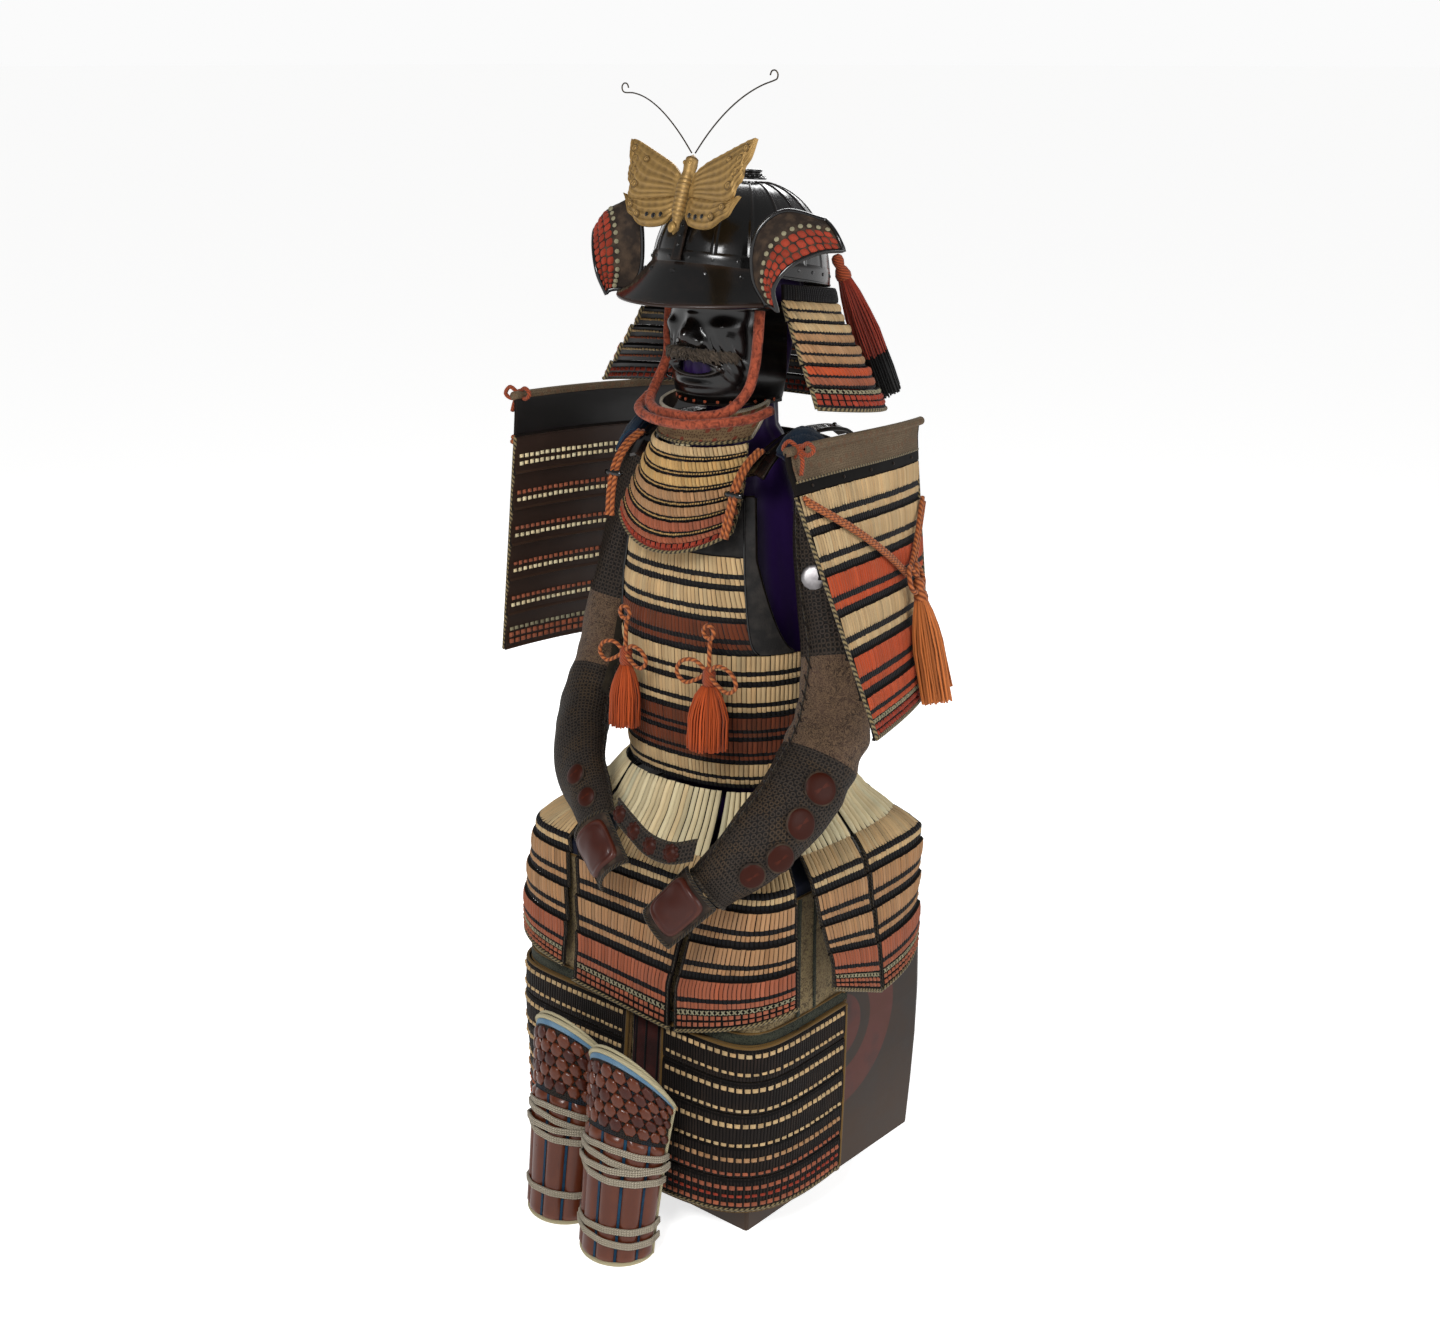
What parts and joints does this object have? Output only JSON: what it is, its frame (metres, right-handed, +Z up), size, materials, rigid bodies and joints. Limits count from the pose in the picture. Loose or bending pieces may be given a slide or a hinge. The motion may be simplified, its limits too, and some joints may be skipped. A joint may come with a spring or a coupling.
{
  "type": "samurai armour on a limbless form and armour chest",
  "caption": "Laced samurai armour with butterfly-crested helmet, mask, shoulder guards, sleeves, tassets, thigh and shin guards, worn by a limbless form on its lacquered chest.",
  "frame": {"origin": "on the floor at the middle of the chest's underside", "axes": "+Z up along the armour's height, the front faces -Y, the wearer's left side is +X"},
  "size_m": [0.6955, 0.6408, 1.5484],
  "materials": {
    "chest_lacquer": "worn brown-black lacquer over wood",
    "silk": "purple silk cloth",
    "black_lacquer": "polished black lacquer",
    "printed_leather": "printed leather",
    "gilt": "gilded carved wood",
    "wire": "aged brass wire",
    "dark_tassel": "dark red silk tassel",
    "fur": "grey-brown fur",
    "cord": "terracotta and apricot silk cord",
    "lacing": "silk lacing over lacquered lames, cream to salmon rows",
    "blue_cloth": "indigo cotton",
    "mail_cloth": "dark cloth covered with mail",
    "brown_lacquer": "copper-brown lacquer",
    "brocade": "olive-brown brocade",
    "lining": "light-blue cotton lining"
  },
  "bodies": {
    "root": {"chest_body": "chest_lacquer", "chest_lid": "chest_lacquer", "form_torso": "silk", "helmet_bowl": "black_lacquer", "helmet_apex": "black_lacquer", "helmet_visor": "black_lacquer", "neck_guard": "lacing", "turnback_left": "printed_leather", "turnback_right": "printed_leather", "crest_butterfly_body": "gilt", "crest_wing_left": "gilt", "crest_wing_right": "gilt", "crest_feeler_left": "wire", "crest_feeler_right": "wire", "crest_prong": "black_lacquer", "helmet_tassel": "dark_tassel", "face_mask": "black_lacquer", "moustache": "fur", "throat_collar": "printed_leather", "throat_bib": "lacing", "chin_cord": "cord", "cuirass_waist": "lacing", "cuirass_front": "lacing", "cuirass_back": "lacing", "shoulder_strap_left": "black_lacquer", "shoulder_pad_left": "blue_cloth", "strap_cord_left": "cord", "shoulder_strap_right": "black_lacquer", "shoulder_pad_right": "blue_cloth", "strap_cord_right": "cord", "breast_tassel_left": "cord", "breast_tassel_right": "cord", "guard_cap_left": "black_lacquer", "guard_lames_left": "lacing", "guard_rope_left": "cord", "guard_tassel_left": "cord", "guard_cap_right": "black_lacquer", "guard_lames_right": "lacing", "guard_rope_right": "cord", "guard_tassel_right": "cord", "sleeve_left": "mail_cloth", "hand_guard_left": "brown_lacquer", "sleeve_right": "mail_cloth", "hand_guard_right": "brown_lacquer", "tasset_front": "lacing", "tasset_front_left": "lacing", "tasset_side_left": "lacing", "tasset_rear_left": "lacing", "tasset_back": "lacing", "tasset_rear_right": "lacing", "tasset_side_right": "lacing", "tasset_front_right": "lacing", "thigh_cloth_left": "brocade", "thigh_lames_left": "black_lacquer", "thigh_cloth_right": "brocade", "thigh_lames_right": "black_lacquer", "shin_plates_left": "brown_lacquer", "shin_lining_left": "lining", "shin_plates_right": "brown_lacquer", "shin_lining_right": "lining"}
  },
  "joints": []
}
